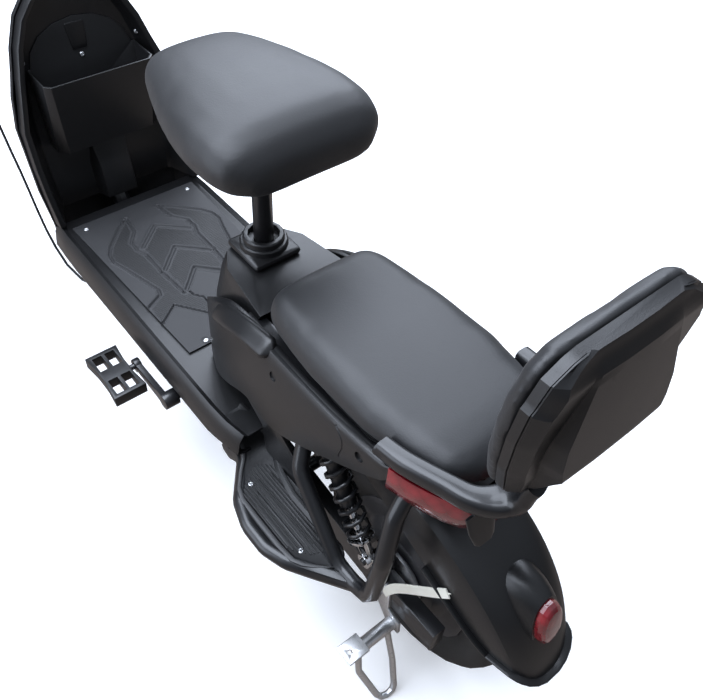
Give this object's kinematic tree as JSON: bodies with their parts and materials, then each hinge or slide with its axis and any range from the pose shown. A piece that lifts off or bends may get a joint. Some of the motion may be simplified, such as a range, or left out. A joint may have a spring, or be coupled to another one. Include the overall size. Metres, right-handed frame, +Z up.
{
  "type": "electric moped",
  "caption": "Small electric moped with pedals, front saddle, rear bench with backrest, step-through floor, suspended wheels and folding stands.",
  "frame": {"origin": "middle of the bounding box's bottom face, on the ground between the wheels", "axes": "+X forward, +Y to the rider's left, +Z up, ground at z = 0"},
  "size_m": [1.6376, 0.6148, 1.0154],
  "materials": {
    "battery_case": "matt moulded case",
    "black_paint": "semi-gloss black",
    "body_plastic": "satin, finely grained",
    "cast_alloy": "black cast alloy",
    "chrome": "polished",
    "cream_paint": "cream paint",
    "gloss_black": "gloss black",
    "red_lens": "dark red moulded lens",
    "red_plastic": "red",
    "rubber": "matt",
    "soft_black": "smooth moulded foam skin",
    "tyre_rubber": "matt",
    "zinc": "bright zinc plate"
  },
  "bodies": {
    "frame": {"front_frame": "black_paint", "floor_frame": "black_paint", "rear_frame": "black_paint", "guard_loop_left": "gloss_black", "guard_loop_right": "gloss_black", "battery_pack": "battery_case", "motor_controller": "cast_alloy", "floor_pan": "body_plastic", "floor_mat": "rubber", "leg_shield": "body_plastic", "front_shield": "body_plastic", "storage_pocket": "body_plastic", "seat_tower_cover": "body_plastic", "seat_collar": "body_plastic", "side_cover_left": "body_plastic", "side_cover_right": "body_plastic", "footrest_left": "body_plastic", "footrest_right": "body_plastic", "tail_lens": "red_lens", "grab_rail": "gloss_black", "backrest_pad": "soft_black", "backrest_shell": "body_plastic", "brake_cable": "rubber"},
    "swing": {"swing_arm": "black_paint", "rear_axle": "zinc", "rear_fender": "body_plastic", "fender_lamp": "red_lens", "fender_stay_left": "cream_paint", "fender_stay_right": "cream_paint"},
    "rear_wheel": {"hub_motor": "cast_alloy", "rear_tyre": "tyre_rubber"},
    "chain": {"drive_chain": "zinc"},
    "cranks": {"crankset": "black_paint"},
    "pedal_left": {"pedal_left": "body_plastic"},
    "pedal_right": {"pedal_right": "body_plastic"},
    "shock_top_left": {"shock_body_left": "chrome", "shock_spring_left": "gloss_black"},
    "shock_top_right": {"shock_body_right": "chrome", "shock_spring_right": "gloss_black"},
    "shock_low_left": {"shock_rod_left": "chrome"},
    "shock_low_right": {"shock_rod_right": "chrome"},
    "stand_left": {"stand_left": "zinc"},
    "stand_right": {"stand_right": "zinc"},
    "bench": {"bench_cushion": "soft_black", "bench_pan": "body_plastic"},
    "saddle": {"saddle": "soft_black", "seat_post": "black_paint"},
    "steering": {"fork_crown": "black_paint", "handlebar": "black_paint", "grip_left": "rubber", "headlight": "gloss_black"},
    "fork": {"fork_lowers": "black_paint", "front_fender": "body_plastic"},
    "front_wheel": {"front_wheel": "cast_alloy", "front_tyre": "tyre_rubber"},
    "throttle": {"throttle_grip": "rubber"},
    "lever_left": {"brake_lever_left": "cast_alloy"},
    "lever_right": {"brake_lever_right": "cast_alloy"},
    "horn": {"horn_button": "red_plastic"}
  },
  "joints": [
    {"name": "swing_arm_pivot", "type": "hinge", "parent": "frame", "child": "swing", "pos_m": [-0.2217, 0, 0.235], "axis": [0, 1, 0], "range_deg": [-2, 5], "stiffness_Nm_per_rad": 7000, "springref_deg": -0.82},
    {"name": "rear_wheel_spin", "type": "hinge", "parent": "swing", "child": "rear_wheel", "pos_m": [-0.5517, 0, 0.19], "axis": [0, 1, 0], "continuous": true},
    {"name": "chain_swing", "type": "hinge", "parent": "swing", "child": "chain", "pos_m": [-0.5517, 0, 0.19], "axis": [0, 1, 0], "range_deg": [-1.5, 0.65]},
    {"name": "crank_spin", "type": "hinge", "parent": "frame", "child": "cranks", "pos_m": [-0.0957, 0, 0.252], "axis": [0, 1, 0], "continuous": true},
    {"name": "pedal_left_spin", "type": "hinge", "parent": "cranks", "child": "pedal_left", "pos_m": [0.0043, 0.2135, 0.252], "axis": [0, 1, 0], "continuous": true},
    {"name": "pedal_right_spin", "type": "hinge", "parent": "cranks", "child": "pedal_right", "pos_m": [-0.1957, -0.2135, 0.252], "axis": [0, 1, 0], "continuous": true},
    {"name": "shock_left_swing", "type": "hinge", "parent": "frame", "child": "shock_top_left", "pos_m": [-0.4217, 0.098, 0.475], "axis": [0, 1, 0], "range_deg": [-1.3, 3.1]},
    {"name": "shock_left_stroke", "type": "slide", "parent": "shock_top_left", "child": "shock_low_left", "axis": [0.5442, 0, 0.839], "range_m": [-0.011, 0.0268], "deforming": ["shock_spring_left"]},
    {"name": "stand_left_fold", "type": "hinge", "parent": "swing", "child": "stand_left", "pos_m": [-0.5917, 0.117, 0.135], "axis": [0, 1, 0], "range_deg": [0, 85], "stiffness_Nm_per_rad": 1.2, "springref_deg": -114.59},
    {"name": "shock_right_swing", "type": "hinge", "parent": "frame", "child": "shock_top_right", "pos_m": [-0.4217, -0.098, 0.475], "axis": [0, 1, 0], "range_deg": [-1.3, 3.1]},
    {"name": "shock_right_stroke", "type": "slide", "parent": "shock_top_right", "child": "shock_low_right", "axis": [0.5442, 0, 0.839], "range_m": [-0.011, 0.0268], "deforming": ["shock_spring_right"]},
    {"name": "stand_right_fold", "type": "hinge", "parent": "swing", "child": "stand_right", "pos_m": [-0.5917, -0.117, 0.135], "axis": [0, 1, 0], "range_deg": [0, 85], "stiffness_Nm_per_rad": 1.2, "springref_deg": -114.59},
    {"name": "bench_hinge", "type": "hinge", "parent": "frame", "child": "bench", "pos_m": [-0.2717, 0, 0.5445], "axis": [0, 1, 0], "range_deg": [0, 45]},
    {"name": "saddle_height", "type": "slide", "parent": "frame", "child": "saddle", "axis": [0, 0, 1], "range_m": [-0.07, 0.05]},
    {"name": "steering_turn", "type": "hinge", "parent": "frame", "child": "steering", "pos_m": [0.51057, 0, 0.57], "axis": [-0.289, 0, 0.9573], "range_deg": [-40, 40], "deforming": ["brake_cable"]},
    {"name": "fork_stroke", "type": "slide", "parent": "steering", "child": "fork", "axis": [-0.289, 0, 0.9573], "range_m": [-0.01, 0.035], "stiffness_N_per_m": 30000, "springref_m": -0.0092},
    {"name": "front_wheel_spin", "type": "hinge", "parent": "fork", "child": "front_wheel", "pos_m": [0.6253, 0, 0.19], "axis": [0, 1, 0], "continuous": true},
    {"name": "throttle_twist", "type": "hinge", "parent": "steering", "child": "throttle", "pos_m": [0.34755, -0.25153, 0.999], "axis": [-0.2456, -0.9694, 0], "range_deg": [0, 70], "stiffness_Nm_per_rad": 0.25, "springref_deg": -22.92},
    {"name": "lever_left_pull", "type": "hinge", "parent": "steering", "child": "lever_left", "pos_m": [0.39922, 0.166, 0.999], "axis": [0, 0, 1], "range_deg": [0, 14], "stiffness_Nm_per_rad": 1.5, "springref_deg": -14.32},
    {"name": "lever_right_pull", "type": "hinge", "parent": "steering", "child": "lever_right", "pos_m": [0.39922, -0.166, 0.999], "axis": [0, 0, -1], "range_deg": [0, 14], "stiffness_Nm_per_rad": 1.5, "springref_deg": -14.32},
    {"name": "horn_press", "type": "slide", "parent": "steering", "child": "horn", "axis": [1, 0, 0], "range_m": [0, 0.002], "stiffness_N_per_m": 700, "springref_m": -0.002}
  ],
  "couplings": [
    {"joint": "chain_swing", "follows": "swing_arm_pivot", "ratio": -0.276},
    {"joint": "shock_left_swing", "follows": "swing_arm_pivot", "ratio": 0.5824},
    {"joint": "shock_right_swing", "follows": "swing_arm_pivot", "ratio": 0.5824},
    {"joint": "shock_left_stroke", "follows": "swing_arm_pivot", "m_per_rad": 0.29885},
    {"joint": "shock_right_stroke", "follows": "swing_arm_pivot", "m_per_rad": 0.29885}
  ]
}
